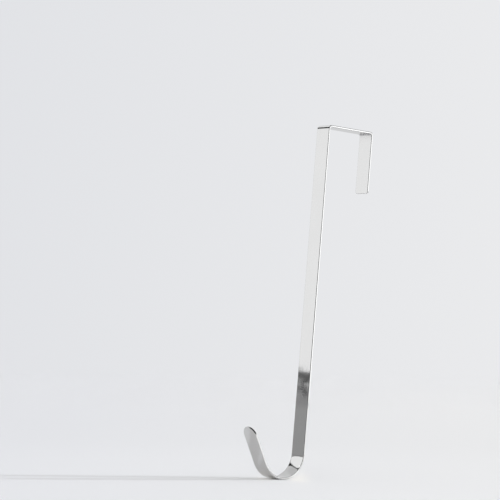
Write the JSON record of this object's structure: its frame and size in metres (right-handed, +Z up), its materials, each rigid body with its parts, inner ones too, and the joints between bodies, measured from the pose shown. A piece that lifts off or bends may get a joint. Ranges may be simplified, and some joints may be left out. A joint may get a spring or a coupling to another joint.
{
  "type": "wreath hanger",
  "caption": "Flat steel strip bent into a saddle that sits over a door's top edge, a long straight stem and an open J hook with a rounded tip that holds a wreath.",
  "frame": {"origin": "middle of the saddle's underside, where the hanger sits on the door's top edge", "axes": "+X across the strip, +Y from the door's front to its back, +Z up"},
  "size_m": [0.016, 0.1049, 0.3],
  "materials": {
    "bright_plate": "bright plated steel, polished, with faint lines along the strip"
  },
  "bodies": {
    "root": {"hanger_strip": "bright_plate"}
  },
  "joints": []
}
